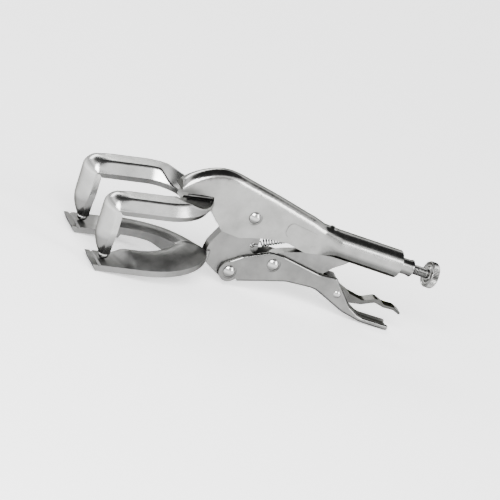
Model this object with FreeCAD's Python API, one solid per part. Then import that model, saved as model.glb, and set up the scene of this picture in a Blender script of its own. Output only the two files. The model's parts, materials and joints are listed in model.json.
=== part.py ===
import FreeCAD, Part
import math
import os

# Locking welding clamp: a toggle-locking hand tool whose two jaws are U-shaped forks.
#
# Two working frames are used, both with the main pivot at their origin:
# - the handle frame: +X to the rear along the tube axis, +Z up, Y across the tool
# - the jaw frame: the handle frame turned by JAW_TILT about Y, which carries the forks
# place() then stands the whole tool on its lower pads and the lever's tail.

V = FreeCAD.Vector
ORIGIN = V(0, 0, 0)
MAIN_PIVOT = (0.0, 0.0)
ACROSS = V(0, 1, 0)
ALONG = V(1, 0, 0)
UP = V(0, 0, 1)

# --- driving dimensions, in mm and degrees ---
JAW_TILT = 11.4          # forks slope down towards the front by this much
STAND_TILT = 3.05        # turns the tool until pads and lever tail touch the floor
PIVOT_X = -12.28         # main pivot in the standing frame
PIVOT_HEIGHT = 47.17

HEAD_WIDTH = 12.0
HEAD_GAP = 7.0           # between the head's two side plates
HEAD_SHEET = (HEAD_WIDTH - HEAD_GAP) / 2
TUBE_RADIUS = 8.45
TUBE_BORE = 6.45
TUBE_AXIS_Z = -0.7
TUBE_START = 58.0
TUBE_END = 99.7
NECK_RADIUS = 4.75
NECK_END = 109.3
LINK_SLOT_END = 79.0     # rear end of the slot under the tube
LINK_SLOT_WIDTH = 7.4

LEVER_PIVOT = (1.75, -37.0)
LINK_PIVOT = (25.3, -24.4)
LINK_NOSE = (72.0, -2.0)
RELEASE_PIVOT = (71.8, -29.2)
SPRING_EAR = (9.2, -18.4)
SPRING_ANCHOR = (50.0, 3.4)

JAW_PLATE = 6.2          # thickness of the lower jaw plate
TANG_THICKNESS = 6.8
LEVER_WIDTH = 10.6
LEVER_GAP = 7.0
LEVER_SHEET = 1.8
LINK_THICKNESS = 6.2
RELEASE_WIDTH = 6.2
RELEASE_SHEET = 1.4

RIVET_SHANK = 2.8        # shank radius of the three large rivets
RIVET_HEAD = 3.6
RIVET_DOME = 1.6
RING_WIDTH = 0.9         # the heads sit in shallow round recesses, wider by this much
RING_DEPTH = 0.5
SMALL_SHANK = 1.5        # the release lever's rivet
SMALL_HEAD = 2.3
SMALL_DOME = 0.9
RUNNING_FIT = 0.06       # radial clearance of a pivot hole
THROUGH = 20.0           # long enough to cut through any part of the tool sideways

PRONG_INNER = 14.0       # half the opening between two prongs
PRONG_OUTER = 33.0       # half the width over both prongs
PRONG_CENTRE = (PRONG_INNER + PRONG_OUTER) / 2
FORK_SHEET = 3.5
CONTACT_E = -92.6        # where a leg's nose meets its pad, along the jaw frame
PAD_TOP = -29.4
PAD_THICKNESS = 3.8
PAD_FRONT = -101.0
NOSE_GAP = 0.15          # between the closed nose and its pad
NOSE_RADIUS = 3.6

SCREW_RADIUS = 3.0
SCREW_BORE = 3.08
THRUST_GAP = 3.0         # open pivot of the toggle linkage, between link nose and thrust button
BUTTON_RADIUS = 4.6
BUTTON_LENGTH = 4.0
KNOB_RADIUS = 7.95
KNOB_START = 120.5
KNOB_END = 125.5
SPRING_RADIUS = 2.3
SPRING_WIRE = 0.45       # wire radius
EAR_HOLE = 1.4
EAR_RELIEF = 5.2         # the plate is thinned round the ear by this radius
EAR_THICKNESS = 2.6
ANCHOR_RADIUS = 1.1
ANCHOR_LENGTH = 8.0

# Forks, in the jaw frame. Low is the open underside, shoulder the top of the
# straight sides, and high the ridge; bow and sweep give the bowed rear run.
UPPER_ARM = dict(low=3.0, shoulder=7.0, high=14.0, straight_end=-64.0, bow=28.5, sweep=86.0)
LOWER_ARM = dict(low=PAD_TOP - PAD_THICKNESS, shoulder=PAD_TOP, high=-24.4,
                 straight_end=-70.0, bow=45.9, sweep=65.0)
CORNER_RADIUS = 8.0      # outside bend from arm to leg
LEG_FRONT = -101.2
LEG_BACK = -91.4
UPPER_TAIL = -28.0       # where the fork's web ends, just ahead of the head
WEB_FALL_FROM = -54.0    # behind this the arms' ridges come down to the web
WEB_TAIL_TOP = 9.4
WEB_TOP = 7.2            # lowest line of the valley between the two arms
VALLEY_RADIUS = 10.0
VALLEY_LENGTH = 44.0
LOWER_TAIL = -20.0
UPPER_SOLID_FROM = -44.0     # behind this the web is solid under its arch
LOWER_SOLID_FROM = -36.0
PAD_SLANT = 2.4          # the pad's nose leans back by this much towards its underside
GROOVE_START = 3.2       # transverse groove across each pad, behind its front edge
GROOVE_WIDTH = 2.0
GROOVE_DEPTH = 1.1
WELD_RADIUS = 1.3
BOSS_RADIUS = 6.5        # round the lever's front pivot
PLATE_BOSS = 11.0        # round the main pivot, on the lower jaw plate
PLATE_CLEARANCE = 12.6   # the tang stays outside this radius


# --- helpers ---
def rounded_outline(corners):
    """Closed wire in the XZ plane; each corner is (x, z) or (x, z, rounding radius)."""
    edges = []
    count = len(corners)
    starts, ends, middles = [], [], []
    for index, corner in enumerate(corners):
        here = V(corner[0], 0, corner[1])
        radius = corner[2] if len(corner) > 2 else 0
        before = corners[index - 1]
        after = corners[(index + 1) % count]
        back = (V(before[0], 0, before[1]) - here).normalize()
        ahead = (V(after[0], 0, after[1]) - here).normalize()
        half = back.getAngle(ahead) / 2
        if radius:
            reach = radius / math.tan(half)
            bisector = (back + ahead).normalize()
            starts.append(here + back * reach)
            ends.append(here + ahead * reach)
            middles.append(here + bisector * (radius / math.sin(half) - radius))
        else:
            starts.append(here)
            ends.append(here)
            middles.append(None)
    for index in range(count):
        if middles[index] is not None:
            edges.append(Part.Arc(starts[index], middles[index], ends[index]).toShape())
        following = starts[(index + 1) % count]
        if (following - ends[index]).Length > 1e-6:
            edges.append(Part.makeLine(ends[index], following))
    return Part.Wire(edges)


def slab(corners, width, offset=0.0):
    """A rounded XZ outline made `width` thick across the tool, centred at y = offset."""
    face = Part.Face(rounded_outline(corners))
    solid = face.extrude(V(0, width, 0))
    solid.translate(V(0, offset - width / 2, 0))
    return solid


def disc(centre, radius, width, offset=0.0):
    """A cylinder along Y about an (x, z) centre."""
    start = V(centre[0], offset - width / 2, centre[1])
    return Part.makeCylinder(radius, width, start, ACROSS)


def rod(x_start, x_end, radius, z=TUBE_AXIS_Z):
    """A cylinder along the tube axis."""
    return Part.makeCylinder(radius, x_end - x_start, V(x_start, 0, z), ALONG)


def to_handle(shape):
    """Jaw frame to handle frame."""
    shape.rotate(ORIGIN, ACROSS, -JAW_TILT)
    return shape


def place(shape):
    """Handle frame to the standing frame of the whole tool."""
    shape.rotate(ORIGIN, ACROSS, STAND_TILT)
    shape.translate(V(PIVOT_X, 0, PIVOT_HEIGHT))
    return shape


def one_solid(shape):
    """The single solid of a boolean result."""
    shape = shape.removeSplitter()
    return shape.Solids[0] if len(shape.Solids) == 1 else shape


# --- upper handle ---
# Height of the ridge line along the head, front to rear.
RIDGE = [
    (-50.6, 6.5), (-46.5, 11.6), (-41.0, 15.8), (-35.0, 19.0), (-28.0, 21.0), (-20.0, 21.1),
    (-11.7, 19.8), (12.0, 15.7), (35.5, 11.0), (46.0, 8.4),
]
HEAD_BOTTOM = -20.0
NOSE_WALL = 2.0          # the head's front is closed by this much


def arch_section(x, half_width, top, bottom):
    """Closed section across the tool: a round top over two straight sides."""
    shoulder = top - half_width
    left = V(x, -half_width, shoulder)
    right = V(x, half_width, shoulder)
    low_right = V(x, half_width, bottom)
    low_left = V(x, -half_width, bottom)
    return Part.Wire([
        Part.Arc(left, V(x, 0, top), right).toShape(),
        Part.makeLine(right, low_right),
        Part.makeLine(low_right, low_left),
        Part.makeLine(low_left, left),
    ])


def round_section(x, radius):
    """Circle about the tube axis in four arcs that pair with an arch section's edges."""
    points = []
    for degrees in (180, 90, 0, -40, -60, -90, -120, -140):
        angle = math.radians(degrees)
        points.append(V(x, radius * math.cos(angle), TUBE_AXIS_Z + radius * math.sin(angle)))
    left, top, right, right_mid, low_right, low, low_left, left_mid = points
    return Part.Wire([
        Part.Arc(left, top, right).toShape(),
        Part.Arc(right, right_mid, low_right).toShape(),
        Part.Arc(low_right, low, low_left).toShape(),
        Part.Arc(low_left, left_mid, left).toShape(),
    ])


def head_loft(inset, front, bottom):
    """The head's volume, from its front to where it starts to flare."""
    half_width = HEAD_WIDTH / 2 - inset
    sections = []
    for x, top in RIDGE:
        station = front if x == RIDGE[0][0] else x
        sections.append(arch_section(station, half_width, top - inset, bottom))
    return Part.makeLoft(sections, True, False)


def make_handle_shell():
    flare_start, flare_top = RIDGE[-1]
    flare_bottom = -9.2
    head = head_loft(0.0, RIDGE[0][0], HEAD_BOTTOM)
    side = slab([
        (-50.6, 1.2, 1.0), (-29.9, 4.4, 1.5), (-27.3, -4.5, 6.0), (-15.8, -14.2, 3.0),
        (-3.5, -14.9, 6.0), (4.1, -12.3, 4.0), (13.0, -10.0, 6.0), (27.0, -8.4, 6.0),
        (39.5, -10.6, 3.0), (46.0, flare_bottom), (46.0, 30.0), (-50.6, 30.0),
    ], 30)
    head = head.common(side)
    flare = Part.makeLoft([
        arch_section(flare_start, HEAD_WIDTH / 2, flare_top, flare_bottom),
        round_section(TUBE_START, TUBE_RADIUS),
    ], True, False)
    shoulder = Part.makeCone(TUBE_RADIUS, NECK_RADIUS, 1.6,
                             V(TUBE_END, 0, TUBE_AXIS_Z), ALONG)
    collar = Part.makeCone(NECK_RADIUS, NECK_RADIUS + 0.5, 1.2,
                           V(NECK_END - 1.2, 0, TUBE_AXIS_Z), ALONG)
    outer = head.fuse([
        flare,
        rod(TUBE_START, TUBE_END, TUBE_RADIUS),
        shoulder,
        rod(TUBE_END, NECK_END, NECK_RADIUS),
        collar,
    ])
    spring_bump = Part.makeSphere(3.4, V(51.0, 0, 5.6))
    outer = outer.fuse(spring_bump)
    for side_sign in (-1, 1):
        emboss = slab([
            (22.0, 5.2, 3.4), (22.0, -4.2, 3.4), (43.5, -6.2, 3.4), (43.5, 2.6, 3.4),
        ], 1.0, side_sign * (HEAD_WIDTH / 2 - 0.15))
        outer = outer.fuse(emboss)
    hollow = head_loft(HEAD_SHEET, RIDGE[0][0] + NOSE_WALL, HEAD_BOTTOM - 10)
    flare_hollow = Part.makeLoft([
        arch_section(flare_start, HEAD_GAP / 2, flare_top - HEAD_SHEET, flare_bottom - 4),
        round_section(TUBE_START, TUBE_BORE),
    ], True, False)
    hollow = hollow.fuse([
        flare_hollow,
        rod(TUBE_START, TUBE_END - 1.5, TUBE_BORE),
        rod(TUBE_END - 2, NECK_END + 1, SCREW_BORE),
    ])
    link_slot = slab([
        (40.0, TUBE_AXIS_Z - 3), (LINK_SLOT_END, TUBE_AXIS_Z - 3),
        (LINK_SLOT_END, -25.0), (40.0, -25.0),
    ], LINK_SLOT_WIDTH)
    shell = outer.cut([
        hollow,
        link_slot,
        disc(MAIN_PIVOT, RIVET_SHANK, THROUGH),
        disc(SPRING_ANCHOR, ANCHOR_RADIUS, ANCHOR_LENGTH),
    ] + head_recesses(MAIN_PIVOT, HEAD_WIDTH))
    return one_solid(shell)


def rivet(centre, body_width, shank, head, dome, offset=0.0):
    """A rivet along Y: a plain shank with a domed head on each side."""
    solid = disc(centre, shank, body_width + 0.2, offset)
    ball = (head * head + dome * dome) / (2 * dome)
    for side_sign in (-1, 1):
        face_y = offset + side_sign * body_width / 2
        sphere = Part.makeSphere(ball, V(centre[0], face_y - side_sign * (ball - dome), centre[1]))
        cap = disc(centre, head, dome * 2, face_y + side_sign * dome)
        solid = solid.fuse(sphere.common(cap))
    return one_solid(solid)


def head_recesses(centre, body_width):
    """Cutters for the ring-shaped recess round a large rivet's two heads."""
    rings = []
    for side_sign in (-1, 1):
        face_y = side_sign * body_width / 2
        wide = disc(centre, RIVET_HEAD + RING_WIDTH, 2 * RING_DEPTH, face_y)
        rings.append(wide.cut(disc(centre, RIVET_HEAD, 2 * RING_DEPTH, face_y)))
    return rings


# --- forks ---
# Each fork is two arched arms: straight at the front, then bowed in until they meet.
def arch_face(x, centre_y, half_width, low, shoulder, high):
    """Section of an arm: flat sides up to the shoulder, then an arch."""
    right = centre_y + half_width
    left = centre_y - half_width
    return Part.Face(Part.Wire([
        Part.makeLine(V(x, left, low), V(x, left, shoulder)),
        Part.Arc(V(x, left, shoulder), V(x, centre_y, high), V(x, right, shoulder)).toShape(),
        Part.makeLine(V(x, right, shoulder), V(x, right, low)),
        Part.makeLine(V(x, right, low), V(x, left, low)),
    ]))


def bowed_arms(front, inset, low, shoulder, high, straight_end, bow, sweep):
    """Both arms of a fork; inset narrows and lowers them to make the hollow underneath."""
    half_width = (PRONG_OUTER - PRONG_INNER) / 2 - inset
    arms = []
    for side_sign in (-1, 1):
        centre_y = side_sign * PRONG_CENTRE
        section = (centre_y, half_width, low, shoulder - inset / 2, high - inset)
        straight = arch_face(front, *section).extrude(V(straight_end - front, 0, 0))
        turn_centre = V(straight_end, centre_y - side_sign * bow, 0)
        turn_axis = V(0, 0, -side_sign)
        curved = arch_face(straight_end, *section).revolve(turn_centre, turn_axis, sweep)
        half_space = Part.makeBox(200, 60, 200, V(-150, min(0, side_sign * 60), -100))
        arms.append(straight.fuse(curved).common(half_space))
    return arms[0].fuse(arms[1])


def leg_section(height, half_width, front, back, centre_y):
    """Closed D-shaped section of a leg, level in the jaw frame; the front is arched."""
    side = front + 0.45 * (back - front)
    low = centre_y - half_width
    high = centre_y + half_width
    return Part.Wire([
        Part.Arc(V(side, low, height), V(front, centre_y, height), V(side, high, height)).toShape(),
        Part.makeLine(V(side, high, height), V(back, high, height)),
        Part.makeLine(V(back, high, height), V(back, low, height)),
        Part.makeLine(V(back, low, height), V(side, low, height)),
    ])


def make_upper_fork():
    arms = bowed_arms(LEG_FRONT, 0, **UPPER_ARM)
    bend = slab([
        (LEG_FRONT, -10), (LEG_FRONT, UPPER_ARM["high"], CORNER_RADIUS),
        (WEB_FALL_FROM, UPPER_ARM["high"], 20.0), (UPPER_TAIL, WEB_TAIL_TOP), (UPPER_TAIL, -10),
    ], 80)
    valley_start = V(UPPER_ARM["straight_end"], 0, WEB_TOP + VALLEY_RADIUS)
    valley = Part.makeCylinder(VALLEY_RADIUS, VALLEY_LENGTH, valley_start, ALONG)
    hollow_sizes = dict(UPPER_ARM, low=UPPER_ARM["low"] - 1)
    hollow = bowed_arms(LEG_BACK + 1, FORK_SHEET, **hollow_sizes)
    hollow = hollow.cut(Part.makeBox(40, 80, 20, V(UPPER_SOLID_FROM, -40, -5)))
    solid = arms.common(bend).cut([valley, hollow])
    legs = []
    for side_sign in (-1, 1):
        centre_y = side_sign * PRONG_CENTRE
        legs.append(Part.makeLoft([
            leg_section(6.0, 9.5, LEG_FRONT, LEG_BACK, centre_y),
            leg_section(-13.0, 9.1, LEG_FRONT, LEG_BACK, centre_y),
            leg_section(-19.0, 7.4, LEG_FRONT + 1.4, LEG_BACK + 0.6, centre_y),
            leg_section(-25.0, 4.2, CONTACT_E - 4.2, CONTACT_E + 3.4, centre_y),
        ], True, True))
        nose_height = PAD_TOP + NOSE_GAP + NOSE_RADIUS
        nose = Part.makeSphere(NOSE_RADIUS, V(CONTACT_E, centre_y, nose_height))
        legs.append(nose)
    solid = solid.fuse(legs)
    return to_handle(one_solid(solid))


def make_tang(fork):
    """Flat tang between the head's side plates, standing on the fork's web."""
    side = slab([
        (-48.3, -4.0), (-48.3, 30.0), (-16.0, 30.0, 3.0), (-11.0, 8.0), (-11.0, -2.0),
        (-27.0, -6.0, 2.0), (-33.0, -6.0),
    ], THROUGH)
    inset = (HEAD_WIDTH - TANG_THICKNESS) / 2
    tang = head_loft(inset, RIDGE[0][0] + NOSE_WALL, HEAD_BOTTOM).common(side)
    tang = tang.cut([disc(MAIN_PIVOT, PLATE_CLEARANCE, THROUGH), fork])
    return max(tang.Solids, key=lambda piece: piece.Volume)


def make_upper_weld(fork, tang, shell):
    """Fillet welds on both sides of the tang, along the fork's web."""
    beads = []
    for side_sign in (-1, 1):
        start = V(-44.0, side_sign * TANG_THICKNESS / 2, WEB_TOP + 0.8)
        bead = Part.makeCylinder(WELD_RADIUS, 14.5, start, ALONG)
        beads.append(to_handle(bead))
    weld = beads[0].fuse(beads[1]).cut([fork, tang, shell])
    return weld


def make_lower_plate():
    jaw = slab([
        (-11.0, 3.0, 8.0), (-13.9, -15.2, 3.0), (-17.2, -25.0, 2.0), (-17.2, -29.0),
        (-12.4, -37.6, 1.0), (-6.2, -40.5, 4.0), (2.5, -44.0, 5.0), (9.0, -40.0, 4.5),
        (9.1, -24.9, 2.0), (13.6, -20.5, 3.0), (12.0, -14.2, 2.4), (11.0, -8.0, 6.0),
        (11.0, 8.0, 9.0), (0.0, 11.5, 6.0),
    ], JAW_PLATE)
    jaw = jaw.fuse(disc(MAIN_PIVOT, PLATE_BOSS, JAW_PLATE))
    relief = (JAW_PLATE - EAR_THICKNESS) / 2
    relief_y = (EAR_THICKNESS + relief) / 2
    ear_middle = (SPRING_EAR[0] + 2.6, SPRING_EAR[1] + 1.4)
    jaw = jaw.cut([
        disc(MAIN_PIVOT, RIVET_SHANK + RUNNING_FIT, THROUGH),
        disc(LEVER_PIVOT, RIVET_SHANK + RUNNING_FIT, THROUGH),
        disc(SPRING_EAR, EAR_HOLE, THROUGH),
        disc(ear_middle, EAR_RELIEF, relief, -relief_y),
        disc(ear_middle, EAR_RELIEF, relief, relief_y),
    ])
    return one_solid(jaw)


def make_lower_fork(plate):
    arms = bowed_arms(-90.0, 0, **LOWER_ARM)
    low = LOWER_ARM["low"]
    high = LOWER_ARM["high"]
    rise = slab([
        (-84.0, low - 1), (-84.0, PAD_TOP), (-75.0, high + 0.5, 6.0),
        (LOWER_TAIL, high + 0.5), (LOWER_TAIL, low - 1),
    ], 80)
    solid = arms.common(rise)
    groove = PAD_FRONT + GROOVE_START
    pads = []
    for side_sign in (-1, 1):
        pad = slab([
            (PAD_FRONT + PAD_SLANT, low), (PAD_FRONT, PAD_TOP), (groove, PAD_TOP),
            (groove + GROOVE_WIDTH / 2, PAD_TOP - GROOVE_DEPTH),
            (groove + GROOVE_WIDTH, PAD_TOP), (-76.0, PAD_TOP), (-74.0, low),
        ], PRONG_OUTER - PRONG_INNER, side_sign * PRONG_CENTRE)
        pads.append(pad)
    solid = solid.fuse(pads)
    hollow = bowed_arms(-73.0, FORK_SHEET, **dict(LOWER_ARM, low=low - 1))
    hollow = hollow.cut(Part.makeBox(40, 80, 20, V(LOWER_SOLID_FROM, -40, -40)))
    solid = to_handle(solid.cut(hollow)).cut(plate)
    return max(solid.Solids, key=lambda piece: piece.Volume)


def make_lower_weld(fork, plate):
    """Fillet welds down both sides of the seam between the lower fork and its plate."""
    beads = []
    for side_sign in (-1, 1):
        foot = V(-21.4, side_sign * (JAW_PLATE / 2), LOWER_ARM["low"] + 0.8)
        beads.append(Part.makeCylinder(WELD_RADIUS, 7.0, foot, UP))
    weld = to_handle(beads[0].fuse(beads[1]))
    return weld.cut([fork, plate])


# --- lever side ---
LEVER_TOP = [
    (-3.6, -33.0), (5.4, -25.6, 4.0), (20.6, -17.6, 6.0), (30.0, -17.4, 12.0),
    (56.0, -20.9, 14.0), (67.6, -19.8, 1.8), (83.0, -33.8, 9.0), (92.5, -38.4, 12.0),
    (112.4, -38.0, 1.2),
]
LEVER_BOTTOM = [
    (112.4, -41.3, 1.2), (94.0, -41.5, 20.0), (80.0, -39.0, 20.0), (57.0, -30.6, 16.0),
    (38.0, -32.2, 16.0), (22.8, -37.0, 10.0), (9.6, -41.4),
]
def make_lever():
    outer = slab(LEVER_TOP + LEVER_BOTTOM, LEVER_WIDTH)
    bottom_edges = []
    for edge in outer.Edges:
        box = edge.BoundBox
        flat_on_side = abs(abs(box.YMin) - LEVER_WIDTH / 2) < 1e-4 and box.YLength < 1e-4
        middle = edge.valueAt((edge.FirstParameter + edge.LastParameter) / 2)
        under = middle.z < lever_floor(middle.x) + 0.4 and 10.5 < middle.x < 112.0
        if flat_on_side and under:
            bottom_edges.append(edge)
    outer = outer.makeFillet(1.5, bottom_edges)
    outer = outer.fuse(disc(LEVER_PIVOT, BOSS_RADIUS, LEVER_WIDTH))
    raised = [(c[0], c[1] + LEVER_SHEET) + tuple(c[2:]) for c in LEVER_BOTTOM[1:]]
    hollow = slab([
        (-12.0, 20.0), (125.0, 20.0), (125.0, -41.4 + LEVER_SHEET),
    ] + raised + [(9.6, -50.0), (-12.0, -50.0)], LEVER_GAP)
    recesses = head_recesses(LEVER_PIVOT, LEVER_WIDTH) + head_recesses(LINK_PIVOT, LEVER_WIDTH)
    lever = outer.cut([
        hollow,
        disc(LEVER_PIVOT, RIVET_SHANK, THROUGH),
        disc(LINK_PIVOT, RIVET_SHANK, THROUGH),
        disc(RELEASE_PIVOT, SMALL_SHANK, THROUGH),
    ] + recesses)
    return one_solid(lever)


def lever_floor(x):
    """Height of the lever's underside at x, along its corner points."""
    points = sorted((c[0], c[1]) for c in LEVER_BOTTOM)
    for (x0, z0), (x1, z1) in zip(points, points[1:]):
        if x0 <= x <= x1:
            return z0 + (z1 - z0) * (x - x0) / (x1 - x0)
    return points[0][1] if x < points[0][0] else points[-1][1]


def make_link():
    link = slab([
        (21.0, -19.4, 5.0), (29.2, -15.4, 4.0), (52.0, -7.4, 8.0), (66.0, 0.2, 6.0),
        (72.5, 1.8, 3.0), (75.2, -3.4, 3.0), (67.6, -10.9, 2.0), (62.4, -15.1, 3.0),
        (58.0, -20.4, 3.0), (50.0, -24.4, 6.0), (38.0, -26.6, 8.0), (28.0, -31.2, 5.0),
        (20.0, -29.0, 5.0),
    ], LINK_THICKNESS)
    link = link.cut(disc(LINK_PIVOT, RIVET_SHANK + RUNNING_FIT, THROUGH))
    return one_solid(link)


def make_release():
    body = slab([
        (57.6, -24.0, 1.2), (60.0, -21.4, 1.2), (72.0, -24.2, 4.0), (80.0, -26.9, 6.0),
        (90.0, -28.6, 6.0), (97.5, -24.6, 4.0), (104.0, -26.8, 6.0), (111.0, -26.4, 6.0),
        (116.2, -28.4, 0.6), (115.4, -29.8, 0.6), (110.5, -28.2, 6.0), (104.0, -28.6, 6.0),
        (97.5, -27.4, 3.0), (90.0, -31.2, 6.0), (80.0, -33.0, 6.0), (72.0, -33.4, 4.0),
        (66.0, -29.0, 3.0),
    ], RELEASE_WIDTH)
    inside = slab([
        (66.0, -26.2), (72.0, -25.9, 4.0), (80.0, -28.5, 6.0), (88.0, -30.2),
        (88.0, -40.0), (66.0, -40.0),
    ], RELEASE_WIDTH - 2 * RELEASE_SHEET)
    release = body.cut([inside, disc(RELEASE_PIVOT, SMALL_SHANK + RUNNING_FIT, THROUGH)])
    return one_solid(release)


# --- adjusting screw ---
def make_button():
    start = LINK_NOSE[0] + 3.0 + THRUST_GAP
    button = rod(start, start + BUTTON_LENGTH, BUTTON_RADIUS)
    rims = [edge for edge in button.Edges if abs(edge.Vertexes[0].X - start) < 1e-4
            and edge.Length > BUTTON_RADIUS]
    button = button.makeFillet(1.0, rims)
    socket = rod(start + 1.5, start + BUTTON_LENGTH + 1, 2.0 + RUNNING_FIT)
    return one_solid(button.cut(socket))


def make_screw():
    button_end = LINK_NOSE[0] + 3.0 + THRUST_GAP + BUTTON_LENGTH
    screw = rod(button_end + 0.3, KNOB_START + 1.5, SCREW_RADIUS)
    spigot = rod(button_end - BUTTON_LENGTH + 1.8, button_end + 0.5, 2.0)
    return one_solid(screw.fuse(spigot))


def make_knob():
    width = KNOB_END - KNOB_START
    profile = [
        (0.0, 0.0), (4.2, 0.0), (4.8, 0.7), (6.3, 0.7), (7.1, 0.0), (KNOB_RADIUS, 0.8),
        (KNOB_RADIUS, width - 0.9), (7.0, width), (5.4, width - 0.5), (0.0, width - 0.5),
    ]
    points = [V(KNOB_START + x, 0, TUBE_AXIS_Z + r) for r, x in profile]
    face = Part.Face(Part.makePolygon(points + [points[0]]))
    knob = face.revolve(V(0, 0, TUBE_AXIS_Z), ALONG, 360)
    knob = knob.cut(rod(KNOB_START - 1, KNOB_START + 1.5, SCREW_RADIUS))
    return one_solid(knob)


def make_spring():
    """Envelope of the tension spring, from the jaw's ear to the handle's anchor."""
    ear = V(SPRING_EAR[0], 0, SPRING_EAR[1])
    anchor = V(SPRING_ANCHOR[0], 0, SPRING_ANCHOR[1])
    direction = (anchor - ear).normalize()
    length = (anchor - ear).Length
    coil_start = 7.0
    coil_end = 5.5
    coil = Part.makeCylinder(SPRING_RADIUS, length - coil_start - coil_end,
                             ear + direction * coil_start, direction)
    hook_reach = SPRING_RADIUS - SPRING_WIRE - 0.1
    hooks = [disc(SPRING_EAR, SPRING_WIRE + 0.05, 2 * hook_reach + 0.6)]
    for side_sign in (-1, 1):
        start = ear + V(0, side_sign * hook_reach, 0) - direction * 0.2
        hooks.append(Part.makeCylinder(SPRING_WIRE, coil_start + 0.7, start, direction))
    rear_length = coil_end + 0.5 - ANCHOR_RADIUS
    rear_start = anchor - direction * (coil_end + 0.5)
    hooks.append(Part.makeCylinder(SPRING_WIRE, rear_length, rear_start, direction))
    return one_solid(coil.fuse(hooks))


def make_anchor_pin():
    return disc(SPRING_ANCHOR, ANCHOR_RADIUS, ANCHOR_LENGTH)


# --- assembly ---
def main():
    os.makedirs("parts", exist_ok=True)
    shell = make_handle_shell()
    upper_fork = one_solid(make_upper_fork().cut(shell))
    tang = make_tang(upper_fork)
    lower_plate = make_lower_plate()
    lower_fork = make_lower_fork(lower_plate)
    large = (RIVET_SHANK, RIVET_HEAD, RIVET_DOME)
    small = (SMALL_SHANK, SMALL_HEAD, SMALL_DOME)
    nodes = {
        "handle_shell": shell,
        "upper_jaw_fork": upper_fork,
        "upper_jaw_tang": tang,
        "upper_fork_weld": make_upper_weld(upper_fork, tang, shell),
        "jaw_pivot_rivet": rivet(MAIN_PIVOT, HEAD_WIDTH, *large),
        "spring_anchor_pin": make_anchor_pin(),
        "lower_jaw_plate": lower_plate,
        "lower_jaw_fork": lower_fork,
        "lower_fork_weld": make_lower_weld(lower_fork, lower_plate),
        "lever_channel": make_lever(),
        "lever_pivot_rivet": rivet(LEVER_PIVOT, LEVER_WIDTH, *large),
        "link_pivot_rivet": rivet(LINK_PIVOT, LEVER_WIDTH, *large),
        "release_pivot_rivet": rivet(RELEASE_PIVOT, LEVER_WIDTH, *small),
        "toggle_link": make_link(),
        "release_lever": make_release(),
        "screw_thrust_button": make_button(),
        "adjusting_screw": make_screw(),
        "adjusting_knob": make_knob(),
        "return_spring": make_spring(),
    }
    for name, shape in nodes.items():
        place(shape)
        shape.exportStep("parts/" + name + ".step")


main()
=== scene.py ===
import json
import math

import bmesh
import bpy
from mathutils import Matrix, Vector


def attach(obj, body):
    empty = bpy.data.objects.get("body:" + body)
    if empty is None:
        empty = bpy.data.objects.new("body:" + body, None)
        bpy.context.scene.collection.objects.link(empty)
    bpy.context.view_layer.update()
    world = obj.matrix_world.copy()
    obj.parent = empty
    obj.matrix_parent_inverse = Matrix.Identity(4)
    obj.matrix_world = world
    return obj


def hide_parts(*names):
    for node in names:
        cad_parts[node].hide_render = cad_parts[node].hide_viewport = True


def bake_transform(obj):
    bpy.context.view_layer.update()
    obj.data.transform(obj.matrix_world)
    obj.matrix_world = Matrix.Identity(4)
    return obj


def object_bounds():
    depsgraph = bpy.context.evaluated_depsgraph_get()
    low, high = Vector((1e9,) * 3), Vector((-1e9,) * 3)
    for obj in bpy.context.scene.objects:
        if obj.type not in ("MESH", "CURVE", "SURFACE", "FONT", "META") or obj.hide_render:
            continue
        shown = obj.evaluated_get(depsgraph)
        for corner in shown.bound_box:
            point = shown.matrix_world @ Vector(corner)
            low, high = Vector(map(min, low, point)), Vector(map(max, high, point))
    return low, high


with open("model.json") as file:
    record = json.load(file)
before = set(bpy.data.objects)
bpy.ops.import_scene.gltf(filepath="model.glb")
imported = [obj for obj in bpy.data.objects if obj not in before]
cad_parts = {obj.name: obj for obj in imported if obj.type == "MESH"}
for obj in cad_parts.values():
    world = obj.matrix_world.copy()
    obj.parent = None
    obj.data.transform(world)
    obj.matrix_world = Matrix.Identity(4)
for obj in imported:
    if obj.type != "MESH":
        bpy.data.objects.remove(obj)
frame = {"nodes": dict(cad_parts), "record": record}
cad_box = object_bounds()
JOINTS = {joint["name"]: joint for joint in frame["record"]["behaviour"]["joints"]}
MOUNTS = {mount["name"]: mount for mount in frame["record"]["mounts"]}
MM = 0.001
WELD_DISTANCE = 1e-6        # metres

# --- working frames, read from the record ---
PIVOT = Vector(JOINTS["jaw_open"]["pos_m"])
PAD_NORMAL = Vector(MOUNTS["pad_near"]["axis"]).normalized()
JAW_UP = PAD_NORMAL
JAW_BACK = Vector((PAD_NORMAL.z, 0, -PAD_NORMAL.x))
TUBE_BACK = Vector(JOINTS["screw_travel"]["axis"]).normalized()
TUBE_UP = Vector((-TUBE_BACK.z, 0, TUBE_BACK.x))
SIDE = Vector((0, 1, 0))


def in_jaw(e, y, n):
    """A point in mm in the jaw frame: e to the rear along the forks, n up from them."""
    return PIVOT + (JAW_BACK * e + SIDE * y + JAW_UP * n) * MM


def in_handle(x, y, z):
    """A point in mm in the handle frame: x to the rear along the tube."""
    return PIVOT + (TUBE_BACK * x + SIDE * y + TUBE_UP * z) * MM


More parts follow.
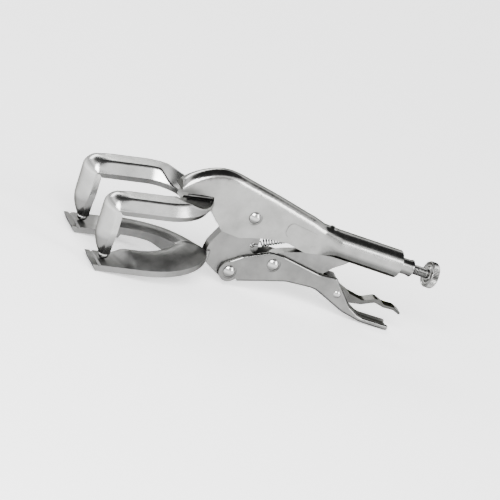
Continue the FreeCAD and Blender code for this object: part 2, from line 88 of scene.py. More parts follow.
# --- mesh helpers ---
def mesh_object(name, points, faces, smooth_angle=40):
    """A mesh with coincident points welded, normals turned out and smooth shading."""
    mesh = bpy.data.meshes.new(name)
    mesh.from_pydata([tuple(p) for p in points], [], faces)
    mesh.validate()
    obj = bpy.data.objects.new(name, mesh)
    bpy.context.collection.objects.link(obj)
    work = bmesh.new()
    work.from_mesh(obj.data)
    bmesh.ops.remove_doubles(work, verts=work.verts, dist=WELD_DISTANCE)
    bmesh.ops.dissolve_degenerate(work, edges=work.edges, dist=WELD_DISTANCE)
    bmesh.ops.recalc_face_normals(work, faces=work.faces)
    work.to_mesh(obj.data)
    work.free()
    obj.data.shade_smooth()
    obj.data.set_sharp_from_angle(angle=math.radians(smooth_angle))
    return obj


def loop_faces(rings, ring_size, close_ends=True):
    """Quads between consecutive closed rings of points, with one face across each end."""
    faces = []
    for ring in range(rings - 1):
        for k in range(ring_size):
            k2 = (k + 1) % ring_size
            a = ring * ring_size
            b = a + ring_size
            faces.append((a + k, a + k2, b + k2, b + k))
    if close_ends:
        faces.append(tuple(range(ring_size)))
        faces.append(tuple(range((rings - 1) * ring_size, rings * ring_size))[::-1])
    return faces


def smooth_step(t):
    t = min(max(t, 0.0), 1.0)
    return t * t * (3 - 2 * t)


def mix(a, b, share):
    return a + (b - a) * share


def soft_max(a, b, softness):
    peak = max(a, b)
    return peak + softness * math.log(math.exp((a - peak) / softness)
                                      + math.exp((b - peak) / softness))


# --- sections of the forks' arms, in mm in the jaw frame ---
PRONG_CENTRE = 23.5         # sideways place of an arm's centre line
HALF_WIDTH = 9.5            # half the width of an arm
PAD_TOP = -29.4
SHEET = 3.5                 # wall at the crown of a hollow arm
FOOT_WALL = 0.6 * SHEET
INNER_ARCH = 0.8            # the hollow's arch as a share of the outside's
SECTION_STEPS = 36
SIDE_STEPS = [(0.08, 0.03), (0.25, 0.22), (0.5, 0.48), (0.75, 0.74), (1.0, 1.0)]
FLANK_SLOPE = 1.5
EDGE_SOFTNESS = 0.3         # rounding between a flat top and its flanks
VALLEY_SOFTNESS = 0.6       # rounding where the two arms' tops meet
VALLEY_SLOPE = 2.0
DISH_SOFTNESS = 0.35
FALL_PEAK = -0.4            # place of a falling top's ridge, in half widths
INNER_FALL = 0.6            # how far the curve runs on the ridge's inner side


def arch(across, half_width, rise):
    """Height of a round arch above its shoulder, at a distance from the centre line."""
    if rise < 1e-3:
        return 0.0
    radius = (half_width ** 2 + rise ** 2) / (2 * rise)
    inside = radius ** 2 - min(abs(across), half_width) ** 2
    return math.sqrt(max(inside, 0)) - (radius - rise)


def flat_crest(flatness):
    """A top between a round arch (0) and a flat top with steep flanks (1)."""
    def height(across, half_width, rise):
        flank = FLANK_SLOPE * (half_width - min(abs(across), half_width))
        trapezium = max(-soft_max(-rise, -flank, EDGE_SOFTNESS), 0)
        return arch(across, half_width, rise) * (1 - flatness) + trapezium * flatness
    return height


def outward_fall(across, half_width, rise):
    """A top that is highest near the inner edge and curves down to the outer edge."""
    peak = FALL_PEAK * half_width
    across = min(max(across, -half_width), half_width)
    share = (across - peak) / (half_width - peak)
    if across < peak:
        share = INNER_FALL * (peak - across) / (half_width + peak)
    return rise * (1 - share * share)


def section(half_width, low, shoulder, rise, recess, tuck=0.0, top=arch):
    """Closed section as (across, height, is_top); recess 0 is solid, 1 is an even sheet.
    Tuck draws the foot of each side in."""
    ring = []
    for k in range(SECTION_STEPS + 1):
        across = -half_width * math.cos(math.pi * k / SECTION_STEPS)
        ring.append((across, shoulder + top(across, half_width, rise), True))
    drop = shoulder - low
    for down, inwards in SIDE_STEPS:
        ring.append((half_width - tuck * inwards, shoulder - drop * down, False))
    inner = half_width - tuck - FOOT_WALL
    inner_rise = rise * INNER_ARCH
    inner_shoulder = shoulder + rise - SHEET - inner_rise
    for k in range(SECTION_STEPS + 1):
        across = inner * math.cos(math.pi * k / SECTION_STEPS)
        roof = inner_shoulder + arch(across, inner, inner_rise)
        ring.append((across, low + recess * max(roof - low, 0), False))
    for down, inwards in reversed(SIDE_STEPS):
        ring.append((-half_width + tuck * inwards, shoulder - drop * down, False))
    return ring


class Bow:
    """Plan of one arm: straight at the front, then bowed in towards the middle plane."""

    def __init__(self, straight_end, radius, tail):
        self.straight_end = straight_end
        self.radius = radius
        self.tail = tail
        self.centre_y = PRONG_CENTRE - radius
        reach = radius + HALF_WIDTH
        self.length = radius * math.acos(-self.centre_y / reach)

    def point(self, s, across):
        """(e, y) at a run s behind the straight's end, across outwards, kept at y >= 0."""
        if s <= 0:
            return self.straight_end + s, PRONG_CENTRE + across
        angle = s / self.radius
        across = max(across, -self.centre_y / math.cos(angle) - self.radius)
        reach = self.radius + across
        e = self.straight_end + reach * math.sin(angle)
        return min(e, self.tail), max(self.centre_y + reach * math.cos(angle), 0.0)

    def distance(self, e, y):
        """How far outside the centre line a plan point lies."""
        if e <= self.straight_end:
            return y - PRONG_CENTRE
        return math.hypot(e - self.straight_end, y - self.centre_y) - self.radius


def bow_ring(bow, s, ring, shoulder, rise, top, dish=None):
    """Places a section at a run s of the arm. On the bow both arms' tops blend where they
    meet, and an optional dish, a height for each (s, y), hollows the web between them."""
    placed = []
    for across, height, is_top in ring:
        e, y = bow.point(s, across)
        if is_top and s > 0:
            own = top(bow.distance(e, y), HALF_WIDTH, rise)
            other = top(bow.distance(e, -y), HALF_WIDTH, rise) - VALLEY_SLOPE * y
            height = shoulder + soft_max(own, other, VALLEY_SOFTNESS)
            if dish:
                height = -soft_max(-height, -dish(s, y), DISH_SOFTNESS)
        placed.append((e, y, height))
    return placed


def fork_object(name, rings):
    """Both halves of a fork from one half's rings of jaw-frame points, open where they join."""
    size = len(rings[0])
    flat = [point for ring in rings for point in ring]
    last = len(flat) - size
    quads = loop_faces(len(rings), size, close_ends=False)
    outside = [quad for quad in quads if any(flat[k][1] > 1e-6 for k in quad)]
    outside.append(tuple(range(last, last + size)))
    points, faces = [], []
    for side in (1, -1):
        start = len(points)
        points += [in_jaw(e, side * y, n) for e, y, n in flat]
        faces += [[start + k for k in face] for face in outside]
    return mesh_object(name, points, faces)


# --- upper fork ---
UPPER_BOW = Bow(straight_end=-64.0, radius=28.5, tail=-28.0)
ARM_LOW, ARM_SHOULDER, ARM_HIGH = 3.0, 7.0, 13.4
ARM_RISE = ARM_HIGH - ARM_SHOULDER
ARM_TUCK, ARM_FLATNESS = 1.9, 0.97
BEND_FLATNESS = 0.4                     # share of it that is left where the bend starts
BEND_FADE = 0.4                         # share of the bend over which the rest fades out
BEND_RADIUS = 8.0                       # on the outside of the bend
ARM_HOLLOW_END, ARM_HOLLOW_FADE = 14, 10
LEG_FRONT, LEG_DEPTH = -101.0, 9.6
LEG_TOP, LEG_END = 3.5, -24.6           # from just below the bend's inner corner
LEG_HALF_WIDTH, LEG_RISE, LEG_RECESS = 9.4, 5.2, 0.7
LEG_TUCK = ARM_TUCK / 2
LEG_HOLLOW_END, LEG_HOLLOW_FADE = -4, 14
LEG_TAPER_FROM, LEG_LEAN_FROM = -8.0, -12.0
TIP_NARROWER, TIP_FLATTER = 5.7, 1.9
TIP_FURTHER_BACK, TIP_THINNER = 4.6, 2.9
CONTACT_E = -92.6                       # where a leg's nose stands on its pad
NOSE_RADIUS, NOSE_GAP = 3.1, 0.15
DISH_HEIGHT, DISH_RADIUS = 7.0, 120
DISH_LIFT, DISH_LIFT_LENGTH = 8.0, 24


def web_dish(s, y):
    """Height of the hollow between the arms; towards the front it rises clear of their tops."""
    return (DISH_HEIGHT + y * y / (2 * DISH_RADIUS)
            + DISH_LIFT * (1 - smooth_step(s / DISH_LIFT_LENGTH)))


def upper_arm_rings():
    steps, straight_steps, ease_from = 40, 12, 9
    crest = flat_crest(ARM_FLATNESS)
    rings = []
    for k in range(steps, -1, -1):
        s = UPPER_BOW.length * k / steps
        recess = 1 - smooth_step((s - ARM_HOLLOW_END) / ARM_HOLLOW_FADE)
        ring = section(HALF_WIDTH, ARM_LOW, ARM_SHOULDER, ARM_RISE, recess, ARM_TUCK, crest)
        rings.append(bow_ring(UPPER_BOW, s, ring, ARM_SHOULDER, ARM_RISE, crest, web_dish))
    straight = LEG_FRONT + BEND_RADIUS - UPPER_BOW.straight_end
    for k in range(1, straight_steps):
        eased = smooth_step((k - ease_from) / (straight_steps - ease_from))
        crest = flat_crest(ARM_FLATNESS * mix(1, BEND_FLATNESS, eased))
        ring = section(HALF_WIDTH, ARM_LOW, ARM_SHOULDER, ARM_RISE, 1.0, ARM_TUCK, crest)
        s = straight * k / straight_steps
        rings.append(bow_ring(UPPER_BOW, s, ring, ARM_SHOULDER, ARM_RISE, crest))
    return rings


def bend_rings():
    """Turns the section from level to hanging, about the bend's centre."""
    steps = 16
    rings = []
    for k in range(steps + 1):
        share = k / steps
        angle = math.radians(90) * share
        total = mix(ARM_HIGH - ARM_LOW, LEG_DEPTH, share)
        rise = mix(ARM_RISE, LEG_RISE, share)
        crest = flat_crest(ARM_FLATNESS * BEND_FLATNESS * (1 - smooth_step(share / BEND_FADE)))
        ring = section(mix(HALF_WIDTH, LEG_HALF_WIDTH, share), ARM_HIGH - total,
                       ARM_HIGH - rise, rise, mix(1, LEG_RECESS, share),
                       mix(ARM_TUCK, LEG_TUCK, share), crest)
        placed = []
        for across, height, _ in ring:
            deep = ARM_HIGH - height
            if deep < BEND_RADIUS:
                e = LEG_FRONT + BEND_RADIUS - (BEND_RADIUS - deep) * math.sin(angle)
                n = ARM_HIGH - BEND_RADIUS + (BEND_RADIUS - deep) * math.cos(angle)
            else:
                e, n = LEG_FRONT + deep, ARM_HIGH - deep
            placed.append((e, PRONG_CENTRE + across, n))
        rings.append(placed)
    return rings


def leg_rings():
    """The leg, which narrows and leans back towards its rounded end."""
    levels, end_steps, end_drop = 26, 6, 1.6
    rings = []
    for k in range(1, levels + 1):
        n = mix(LEG_TOP, LEG_END, k / levels)
        taper = max((LEG_TAPER_FROM - n) / (LEG_TAPER_FROM - LEG_END), 0) ** 1.5
        lean = max((LEG_LEAN_FROM - n) / (LEG_LEAN_FROM - LEG_END), 0) ** 1.8
        front = LEG_FRONT + TIP_FURTHER_BACK * lean
        depth = LEG_DEPTH - TIP_THINNER * lean
        rise = LEG_RISE - TIP_FLATTER * taper
        recess = LEG_RECESS * (1 - smooth_step((LEG_HOLLOW_END - n) / LEG_HOLLOW_FADE))
        ring = section(LEG_HALF_WIDTH - TIP_NARROWER * taper, -depth, -rise, rise, recess, LEG_TUCK)
        rings.append([(front - height, PRONG_CENTRE + across, n) for across, height, _ in ring])
    tip = rings[-1]
    for k in range(1, end_steps + 1):
        angle = math.radians(90) * k / end_steps
        scale = max(math.cos(angle), 0.02)
        rings.append([(mix(CONTACT_E, e, scale), mix(PRONG_CENTRE, y, scale),
                       n - end_drop * math.sin(angle)) for e, y, n in tip])
    return rings


def upper_fork():
    return fork_object("upper_fork_formed", upper_arm_rings() + bend_rings() + leg_rings())


def ball_nose(side):
    """Round tip of a leg, just clear of its pad."""
    height = PAD_TOP + NOSE_GAP + NOSE_RADIUS
    points = []
    rows, per_row = 20, 40
    for row in range(1, rows):
        polar = math.pi * row / rows
        for k in range(per_row):
            turn = 2 * math.pi * k / per_row
            across = NOSE_RADIUS * math.sin(polar)
            points.append(in_jaw(CONTACT_E + across * math.cos(turn),
                                 side * PRONG_CENTRE + across * math.sin(turn),
                                 height + NOSE_RADIUS * math.cos(polar)))
    return points, loop_faces(rows - 1, per_row)


# --- lower fork ---
LOWER_BOW = Bow(straight_end=-70.0, radius=45.9, tail=-20.2)
LOWER_FOOT, LOWER_RISE = -33.2, 5.0
LOWER_DOME, DOME_FROM, DOME_LENGTH = 0.8, 8, 24     # extra rise towards the middle plane
LOWER_HOLLOW_END, LOWER_HOLLOW_FADE = 20, 14
THIN_WIDTH, THIN_RAISE = 3.5, 2.2
RAMP_END, RAMP_LENGTH, RAMP_SKEW = -84, 9.5, 0.28
GROOVE_AT, GROOVE_DEPTH = -96.8, 1.0
PAD_FRONT, PAD_FRONT_SLANT = -101.0, 2.4


def thin_inner_edge(ring, amount):
    """Raises the foot of the wall round the opening, where the forging is thinner."""
    raised = LOWER_FOOT + THIN_RAISE * amount
    return [(across, max(height, raised) if across < THIN_WIDTH - HALF_WIDTH else height, is_top)
            for across, height, is_top in ring]


def pad_ring(e):
    """Section of the pad, and of the ramp that leads up from it to the prong."""
    groove = GROOVE_DEPTH if e == GROOVE_AT else 0.0
    slanted = e < PAD_FRONT + 0.5
    placed = []
    for across, height, is_top in section(HALF_WIDTH, LOWER_FOOT, PAD_TOP, 0.0, 0.0):
        if is_top:
            ramp = smooth_step((e - RAMP_END - RAMP_SKEW * across) / RAMP_LENGTH)
            height = PAD_TOP + outward_fall(across, HALF_WIDTH, LOWER_RISE * ramp) - groove
        else:
            height = min(height, PAD_TOP - groove)
        down = (PAD_TOP - height) / (PAD_TOP - LOWER_FOOT)
        slant = max(PAD_FRONT_SLANT * down, 0) if slanted else 0.0
        placed.append((e + slant, PRONG_CENTRE + across, height))
    return placed


def lower_fork():
    steps = 44
    rings = []
    for k in range(steps, -1, -1):
        s = LOWER_BOW.length * k / steps
        recess = 1 - smooth_step((s - LOWER_HOLLOW_END) / LOWER_HOLLOW_FADE)
        rise = LOWER_RISE + LOWER_DOME * smooth_step((s - DOME_FROM) / DOME_LENGTH)
        ring = section(HALF_WIDTH, LOWER_FOOT, PAD_TOP, rise, recess, top=outward_fall)
        ring = thin_inner_edge(ring, recess)
        rings.append(bow_ring(LOWER_BOW, s, ring, PAD_TOP, rise, outward_fall))
    stations = [-70 - k for k in range(1, 15)] + [-86, -90]
    stations += [GROOVE_AT - step for step in (-1.2, -1.0, 0, 1.0, 1.2)]
    stations += [PAD_FRONT + 0.1, PAD_FRONT]
    rings += [pad_ring(e) for e in stations]
    return fork_object("lower_fork_formed", rings)


# --- spring, screw and knob ---
SPRING_EAR, SPRING_ANCHOR = (9.2, 0, -18.4), (50.0, 0, 3.4)
WIRE_RADIUS, COIL_RADIUS, COIL_TURNS = 0.45, 1.85, 21
COIL_FRONT, COIL_REAR = 6.0, 6.5        # plain wire from each hook to the coil
HOOK_STEPS, STEPS_PER_TURN = 12, 18
FRONT_HOOK_END, FRONT_HOOK_START = 3.4, 3.9
REAR_HOOK_RADIUS = 1.75


def tube_along(points, radius, sides):
    """Points and faces of a round tube along a list of points."""
    skin = []
    normal = SIDE
    for k, p in enumerate(points):
        ahead = points[min(k + 1, len(points) - 1)]
        behind = points[max(k - 1, 0)]
        tangent = (ahead - behind).normalized()
        normal = (normal - tangent * normal.dot(tangent)).normalized()
        other = tangent.cross(normal)
        for j in range(sides):
            angle = 2 * math.pi * j / sides
            skin.append(p + (normal * math.cos(angle) + other * math.sin(angle)) * radius)
    return skin, loop_faces(len(points), sides)


def return_spring():
    ear = in_handle(*SPRING_EAR)
    anchor = in_handle(*SPRING_ANCHOR)
    axis = (anchor - ear).normalized()
    up = SIDE.cross(axis).normalized()
    start, end = COIL_FRONT, (anchor - ear).length / MM - COIL_REAR

    def at(along, around, out):
        """A point round the spring's axis; around 0 is the far side and pi the near side."""
        return ear + (axis * along + SIDE * math.cos(around) * out + up * math.sin(around) * out) * MM

    # The front hook runs from its free end on the ear's near side through the hole to the far side.
    path = [at(FRONT_HOOK_END, math.pi, COIL_RADIUS)]
    for k in range(HOOK_STEPS + 1):
        angle = math.pi * k / HOOK_STEPS
        path.append(at(COIL_RADIUS * (1 - math.sin(angle)), math.pi, COIL_RADIUS * math.cos(angle)))
    path.append(at(FRONT_HOOK_START, 0, COIL_RADIUS))
    steps = COIL_TURNS * STEPS_PER_TURN
    for k in range(steps + 1):
        around = 2 * math.pi * COIL_TURNS * k / steps
        path.append(at(start + (end - start) * k / steps, around, COIL_RADIUS))
    path.append(at(end + 1.0, math.radians(60), COIL_RADIUS * 0.6))
    path.append(at(end + 2.6, 0, 0.2))
    # The rear hook goes round the anchor pin.
    for k in range(HOOK_STEPS + 1):
        angle = math.radians(230 - 250 * k / HOOK_STEPS)
        path.append(anchor + (axis * math.cos(angle) - up * math.sin(angle)) * REAR_HOOK_RADIUS * MM)
    points, faces = tube_along(path, WIRE_RADIUS * MM, sides=10)
    spring = mesh_object("tension_coil", points, faces)
    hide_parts("return_spring")
    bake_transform(spring)
    return spring


TUBE_AXIS_Z = -0.7
THREAD_RADIUS, THREAD_DEPTH, THREAD_PITCH = 2.98, 0.58, 1.0
THREAD_START, THREAD_FADE_END, THREAD_END = 82.4, 119.6, 121.8
GROOVE_HALF_WIDTH, ROOT_FLAT = 0.42, 1.15       # in pitches, and how far the groove is cut off
SPIGOT_RADIUS, SPIGOT_FRONT, SPIGOT_REAR = 1.98, 79.8, 82.5
KNOB_FRONT, KNOB_REAR = 120.5, 125.5
KNOB_TEETH, KNURL_DEPTH = 54, 0.34


def around_tube(x, radius, angle):
    return in_handle(x, radius * math.cos(angle), TUBE_AXIS_Z + radius * math.sin(angle))


def adjusting_screw():
    """Right-hand thread at its outside radius, with a plain spigot at the front end."""
    per_turn, per_pitch = 40, 8
    length = THREAD_END - THREAD_START
    rows = int(length / THREAD_PITCH * per_pitch)
    points = []
    for row in range(rows + 1):
        x = THREAD_START + length * row / rows
        fade = smooth_step((x - THREAD_START) / 1.5) * smooth_step((THREAD_FADE_END - x) / 0.8)
        for k in range(per_turn):
            angle = 2 * math.pi * k / per_turn
            phase = (x / THREAD_PITCH + angle / (2 * math.pi)) % 1.0
            groove = max(0.0, 1 - abs(phase - 0.5) / GROOVE_HALF_WIDTH)
            cut = THREAD_DEPTH * min(groove * ROOT_FLAT, 1.0) * fade
            points.append(around_tube(x, THREAD_RADIUS - cut, angle))
    screw = mesh_object("threaded_screw", points, loop_faces(rows + 1, per_turn), smooth_angle=70)
    spigot_points = [around_tube(x, SPIGOT_RADIUS, 2 * math.pi * k / per_turn)
                     for x in (SPIGOT_FRONT, SPIGOT_REAR) for k in range(per_turn)]
    spigot = mesh_object("screw_spigot", spigot_points, loop_faces(2, per_turn))
    return screw, spigot


def adjusting_knob():
    """Dished round knob with a straight-knurled rim."""
    start, end = KNOB_FRONT, KNOB_REAR
    samples = KNOB_TEETH * 6
    profile = [     # place along the axis, radius, share of the knurl's depth
        (start, 3.05, 0), (start, 3.9, 0), (start + 0.15, 4.15, 0), (start + 0.9, 4.9, 0),
        (start + 1.0, 5.3, 0), (start + 0.9, 6.0, 0), (start + 0.15, 6.9, 0), (start, 7.15, 0),
        (start + 0.15, 7.5, 0), (start + 0.75, 7.85, 0.6), (start + 1.0, 7.93, 1), (end - 1.0, 7.93, 1),
        (end - 0.75, 7.85, 0.6), (end - 0.2, 7.4, 0), (end, 7.0, 0), (end, 6.6, 0),
        (end - 0.35, 5.6, 0), (end - 0.5, 4.8, 0), (end - 0.5, 2.4, 0), (end - 0.5, 0.05, 0),
    ]
    points = []
    for x, radius, knurl in profile:
        for k in range(samples):
            angle = 2 * math.pi * k / samples
            wave = 0.5 - 0.5 * math.cos(KNOB_TEETH * angle)
            points.append(around_tube(x, radius - KNURL_DEPTH * knurl * wave, angle))
    return mesh_object("knurled_knob", points, loop_faces(len(profile), samples), smooth_angle=35)


# --- materials ---
def link(tree, a, out, b, into):
    tree.links.new(a.outputs[out], b.inputs[into])


def noise(tree, coords, scale, detail, roughness=0.55, stretch=None):
    node = tree.nodes.new("ShaderNodeTexNoise")
    node.inputs["Scale"].default_value = scale
    node.inputs["Detail"].default_value = detail
    node.inputs["Roughness"].default_value = roughness
    if stretch:
        mapping = tree.nodes.new("ShaderNodeMapping")
        mapping.inputs["Scale"].default_value = stretch
        link(tree, coords, "Object", mapping, "Vector")
        link(tree, mapping, "Vector", node, "Vector")
    else:
        link(tree, coords, "Object", node, "Vector")
    return node


def spread(tree, source, out, low, high, from_low=0.3, from_high=0.7):
    node = tree.nodes.new("ShaderNodeMapRange")
    node.inputs["From Min"].default_value = from_low
    node.inputs["From Max"].default_value = from_high
    node.inputs["To Min"].default_value = low
    node.inputs["To Max"].default_value = high
    link(tree, source, out, node, "Value")
    return node


CLOUD_SCALE, SMUDGE_SCALE, BRUSHING_SCALE, PIT_SCALE = 55, 240, 900, 420
BRUSHING_HEIGHT, PIT_HEIGHT = 0.0002, 0.0004        # metres
GRAZING_TINT = (0.25, 0.25, 0.24, 1)        # darkens the reflection at grazing angles
SATIN_FROM, SATIN_TO = 0.86, 0.98           # how squarely a satin face looks sideways
UNDER_FROM, UNDER_TO = -0.32, -0.02         # upward part of the normal over which the painted shade on downward faces fades out


def colour_ramp(tree, dark, light):
    ramp = tree.nodes.new("ShaderNodeValToRGB")
    ramp.color_ramp.elements[0].color = (*dark, 1)
    ramp.color_ramp.elements[1].color = (*light, 1)
    return ramp


def clouded_colour(tree, coords, split, dark, light, painted_under_shade):
    """Cloudy colour from dark to light, darkened by painted shade on faces that look down."""
    clouds = noise(tree, coords, CLOUD_SCALE, 5.0, 0.6)
    ramp = colour_ramp(tree, dark, light)
    ramp.color_ramp.elements[0].position = 0.32
    ramp.color_ramp.elements[1].position = 0.66
    link(tree, clouds, "Fac", ramp, "Fac")
    # painted shade: the colour is scaled down on faces whose normal points down
    under = spread(tree, split, "Z", painted_under_shade, 1, UNDER_FROM, UNDER_TO)
    shade = tree.nodes.new("ShaderNodeVectorMath")
    shade.operation = "SCALE"
    link(tree, ramp, "Color", shade, "Vector")
    link(tree, under, "Result", shade, "Scale")
    return shade


def mixed_roughness(tree, coords, split, polish, satin):
    """Smudged roughness: satin on faces that look sideways and polish on the rest."""
    smudges = noise(tree, coords, SMUDGE_SCALE, 6.0, 0.6)
    polished = spread(tree, smudges, "Fac", *polish)
    if not satin:
        return polished
    sideways = tree.nodes.new("ShaderNodeMath")
    sideways.operation = "ABSOLUTE"
    link(tree, split, "Y", sideways, 0)
    mask = spread(tree, sideways, "Value", 0, 1, SATIN_FROM, SATIN_TO)
    brushed = spread(tree, smudges, "Fac", *satin)
    blend = tree.nodes.new("ShaderNodeMix")
    link(tree, mask, "Result", blend, "Factor")
    link(tree, polished, "Result", blend, "A")
    link(tree, brushed, "Result", blend, "B")
    return blend


def bump(tree, height, strength, distance):
    node = tree.nodes.new("ShaderNodeBump")
    node.inputs["Strength"].default_value = strength
    node.inputs["Distance"].default_value = distance
    link(tree, height, "Fac", node, "Height")
    return node


# The under shade factor paints shade into the base colour on faces that look down.
def metal(name, dark, light, polish, satin=None, grain=(1, 1, 1), grain_bump=0.06, pits=0.05,
          painted_under_shade=0.36):
    """Plated steel. Polish and satin are (low, high) roughness. Grain is the brushing's
    stretch along the row axes, and grain_bump and pits are bump strengths."""
    made = bpy.data.materials.new(name)
    made.use_nodes = True
    tree = made.node_tree
    shader = tree.nodes["Principled BSDF"]
    shader.inputs["Metallic"].default_value = 1.0
    shader.inputs["Specular Tint"].default_value = GRAZING_TINT
    coords = tree.nodes.new("ShaderNodeTexCoord")
    geometry = tree.nodes.new("ShaderNodeNewGeometry")
    split = tree.nodes.new("ShaderNodeSeparateXYZ")
    link(tree, geometry, "Normal", split, "Vector")
    colour = clouded_colour(tree, coords, split, dark, light, painted_under_shade)
    link(tree, colour, "Vector", shader, "Base Color")
    roughness = mixed_roughness(tree, coords, split, polish, satin)
    link(tree, roughness, "Result", shader, "Roughness")
    fine = noise(tree, coords, BRUSHING_SCALE, 3.0, 0.5, grain)
    brushing = bump(tree, fine, grain_bump, BRUSHING_HEIGHT)
    coarse = noise(tree, coords, PIT_SCALE, 2.0, 0.5)
    dimples = bump(tree, coarse, pits, PIT_HEIGHT)
    link(tree, brushing, "Normal", dimples, "Normal")
    link(tree, dimples, "Normal", shader, "Normal")
    return made


ALONG = (0.12, 1.6, 1.6)                # brushing drawn out along the tool
NICKEL = dict(dark=(0.2, 0.2, 0.194), light=(0.3, 0.3, 0.292))
BRIGHT = dict(dark=(0.36, 0.36, 0.352), light=(0.47, 0.47, 0.462))
DARK = dict(dark=(0.05, 0.05, 0.048), light=(0.09, 0.09, 0.087))
PALE = dict(dark=(0.13, 0.13, 0.127), light=(0.2, 0.2, 0.195))
GREY = dict(dark=(0.13, 0.13, 0.127), light=(0.21, 0.21, 0.206))
FORGED = dict(dark=(0.15, 0.15, 0.147), light=(0.22, 0.22, 0.216))
MATERIALS = {
    "handle": metal("nickel_handle", **NICKEL, polish=(0.12, 0.2), satin=(0.28, 0.42), grain=ALONG,
                   grain_bump=0.14),
    "fork": metal("nickel_fork", **BRIGHT, polish=(0.17, 0.25), satin=(0.18, 0.28), painted_under_shade=0.4),
    "tang": metal("nickel_tang", **BRIGHT, polish=(0.42, 0.52), satin=(0.36, 0.46), grain=ALONG),
    "plate": metal("nickel_plate", **PALE, polish=(0.26, 0.36), satin=(0.34, 0.46), grain=ALONG,
                  grain_bump=0.16),
    "forged": metal("nickel_forged", **FORGED, polish=(0.34, 0.46), pits=0.14),
    "lever": metal("nickel_lever", **PALE, polish=(0.14, 0.22), satin=(0.28, 0.42), grain=ALONG,
                  grain_bump=0.14),
    "link": metal("nickel_link", **GREY, polish=(0.26, 0.36), satin=(0.32, 0.42), grain=ALONG),
    "release": metal("nickel_release", **DARK, polish=(0.12, 0.2), satin=(0.2, 0.3), grain=ALONG),
    "rivet": metal("polished_rivet", **BRIGHT, polish=(0.1, 0.17)),
    "weld": metal("weld_bead", **GREY, polish=(0.3, 0.45), pits=0.3),
    "screw": metal("zinc_screw", **PALE, polish=(0.2, 0.32), pits=0.03),
    "knob": metal("nickel_knob", **NICKEL, polish=(0.14, 0.22), pits=0.04),
    "steel": metal("bare_steel", **GREY, polish=(0.24, 0.34)),
    "spring": metal("spring_wire", dark=(0.16, 0.16, 0.16), light=(0.24, 0.24, 0.24), polish=(0.2, 0.3)),
}


BEVEL_ANGLE, BEVEL_SEGMENTS = 34, 3
NORMALS_WEIGHT = 60


def dress(obj, material):
    obj.data.materials.clear()
    obj.data.materials.append(MATERIALS[material])
    return obj


def soften(node, material, width):
    """Gives a CAD node its material and small rounded edges."""
    obj = dress(frame["nodes"][node], material)
    if "custom_normal" in obj.data.attributes:
        obj.data.attributes.remove(obj.data.attributes["custom_normal"])
    obj.data.shade_smooth()
    weld = obj.modifiers.new("weld", "WELD")
    weld.merge_threshold = WELD_DISTANCE
    bevel = obj.modifiers.new("edges", "BEVEL")
    bevel.width = width * MM
    bevel.segments = BEVEL_SEGMENTS
    bevel.limit_method = "ANGLE"
    bevel.angle_limit = math.radians(BEVEL_ANGLE)
    bevel.use_clamp_overlap = True
    bevel.miter_outer = "MITER_ARC"
    normals = obj.modifiers.new("normals", "WEIGHTED_NORMAL")
    normals.weight = NORMALS_WEIGHT


NODE_FINISH = {     # material, and width in mm of the rounded edges
    "handle_shell": ("handle", 0.45), "upper_jaw_tang": ("tang", 0.3),
    "upper_fork_weld": ("weld", 0.2), "jaw_pivot_rivet": ("rivet", 0.12),
    "spring_anchor_pin": ("steel", 0.1), "lower_jaw_plate": ("plate", 0.4),
    "lower_fork_weld": ("weld", 0.2), "lever_channel": ("lever", 0.4),
    "lever_pivot_rivet": ("rivet", 0.12), "link_pivot_rivet": ("rivet", 0.12),
    "release_pivot_rivet": ("rivet", 0.1), "toggle_link": ("link", 0.4),
    "release_lever": ("release", 0.35), "screw_thrust_button": ("steel", 0.2),
}
for node, (material, width) in NODE_FINISH.items():
    soften(node, material, width)


def stand_in(obj, node, material, body):
    """obj is shown in place of a CAD node and moves with that node's body."""
    dress(obj, material)
    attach(obj, body)
    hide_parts(node)


stand_in(upper_fork(), "upper_jaw_fork", "fork", "handle")
for label, side in (("near", -1), ("far", 1)):
    tip = dress(mesh_object("leg_nose_" + label, *ball_nose(side)), "rivet")
    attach(tip, "handle")
stand_in(lower_fork(), "lower_jaw_fork", "forged", "lower_jaw")
thread, spigot = adjusting_screw()
stand_in(thread, "adjusting_screw", "screw", "screw")
dress(spigot, "screw")
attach(spigot, "screw")
stand_in(adjusting_knob(), "adjusting_knob", "knob", "screw")
dress(return_spring(), "spring")


# --- stage, light and camera ---
MIDDLE = in_handle(7.05, -5.5, -19.95)      # what the camera and the lights look at
FLOOR_RADIUS, FLOOR_SIDES, FLOOR_GAP = 12, 96, 0.0002
FLOOR_GLOW = 0.8


def floor():
    """Pale round floor just under the tool, with a glow of its own."""
    mesh = bpy.data.meshes.new("floor")
    turns = [2 * math.pi * k / FLOOR_SIDES for k in range(FLOOR_SIDES)]
    ring = [(MIDDLE.x + FLOOR_RADIUS * math.cos(turn), MIDDLE.y + FLOOR_RADIUS * math.sin(turn),
             cad_box[0].z - FLOOR_GAP) for turn in turns]
    mesh.from_pydata(ring, [], [tuple(range(FLOOR_SIDES))])
    obj = bpy.data.objects.new("floor", mesh)
    bpy.context.collection.objects.link(obj)
    made = bpy.data.materials.new("pale_floor")
    made.use_nodes = True
    tree = made.node_tree
    shader = tree.nodes["Principled BSDF"]
    coords = tree.nodes.new("ShaderNodeTexCoord")
    mottle = noise(tree, coords, 9, 3.0)
    ramp = colour_ramp(tree, (0.93, 0.93, 0.93), (0.95, 0.95, 0.95))
    link(tree, mottle, "Fac", ramp, "Fac")
    link(tree, ramp, "Color", shader, "Base Color")
    shader.inputs["Roughness"].default_value = 0.9
    shader.inputs["Emission Color"].default_value = (1, 1, 1, 1)
    shader.inputs["Emission Strength"].default_value = FLOOR_GLOW
    mesh.materials.append(made)


floor()


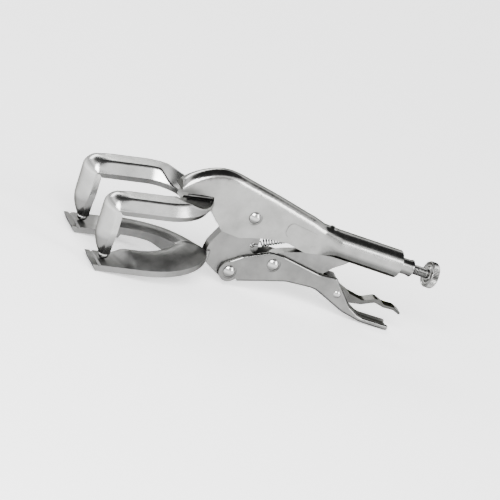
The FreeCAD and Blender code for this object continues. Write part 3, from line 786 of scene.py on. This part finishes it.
def area_light(name, direction, distance, size, power):
    """A soft box that faces the tool; direction is where it stands, seen from the tool."""
    data = bpy.data.lights.new(name, "AREA")
    data.shape = "RECTANGLE"
    data.size, data.size_y = size
    data.energy = power
    lamp = bpy.data.objects.new(name, data)
    bpy.context.collection.objects.link(lamp)
    way = Vector(direction).normalized()
    lamp.location = MIDDLE + way * distance
    lamp.rotation_mode = "QUATERNION"
    lamp.rotation_quaternion = way.to_track_quat("Z", "Y")


area_light("key", (-0.6, -0.9, 0.85), distance=1.5, size=(1.0, 0.8), power=50)
area_light("fill", (0.9, -0.8, 0.5), distance=1.5, size=(0.5, 0.9), power=20)
area_light("rim", (-0.2, 0.9, 0.5), distance=1.8, size=(1.6, 0.5), power=22)


SKY_TOP = (0.05, 0.14, 0.99)
SKY_STRENGTH = 2.5
SKY = [     # share of the way up to the sky's top, brightness
    (0.0, 0.9), (0.2, 0.8), (0.33, 0.42), (0.5, 0.5), (0.57, 1.0), (0.66, 1.0), (0.71, 0.8),
    (0.78, 0.03), (1.0, 0.02),
]


def studio_world():
    """Pale near the horizon, then a grey band and a bright one, and a dark canopy overhead
    that shows as black bands in polished metal."""
    world = bpy.data.worlds.new("studio")
    bpy.context.scene.world = world
    world.use_nodes = True
    tree = world.node_tree
    background = tree.nodes["Background"]
    coords = tree.nodes.new("ShaderNodeTexCoord")
    towards = tree.nodes.new("ShaderNodeVectorMath")
    towards.operation = "DOT_PRODUCT"
    towards.inputs[1].default_value = SKY_TOP
    link(tree, coords, "Generated", towards, 0)
    ramp = tree.nodes.new("ShaderNodeValToRGB")
    elements = ramp.color_ramp.elements
    while len(elements) < len(SKY):
        elements.new(0.5)
    for element, (position, level) in zip(elements, SKY):
        element.position = position
        element.color = (level, level, level, 1)
    link(tree, towards, "Value", ramp, "Fac")
    link(tree, ramp, "Color", background, "Color")
    background.inputs["Strength"].default_value = SKY_STRENGTH


studio_world()


CAMERA_DISTANCE, CAMERA_LENS, SENSOR_WIDTH = 6, 741, 36     # metres, mm, mm


def studio_camera():
    """A long lens at the viewing angle, tipped sideways so that the tool lies across the picture."""
    data = bpy.data.cameras.new("camera")
    camera = bpy.data.objects.new("camera", data)
    bpy.context.collection.objects.link(camera)
    view = (TUBE_BACK * 0.4384 + SIDE * 0.8385 - TUBE_UP * 0.3244).normalized()
    up = (TUBE_BACK * -0.2867 + SIDE * 0.4724 + TUBE_UP * 0.8339)
    right = view.cross(up).normalized()
    up = right.cross(view)
    rotation = Matrix((right, up, -view)).transposed().to_4x4()
    camera.matrix_world = Matrix.Translation(MIDDLE - view * CAMERA_DISTANCE) @ rotation
    data.lens = CAMERA_LENS
    data.sensor_width = SENSOR_WIDTH
    data.clip_start, data.clip_end = 0.5, 40
    bpy.context.scene.camera = camera


studio_camera()

bpy.context.view_layer.update()
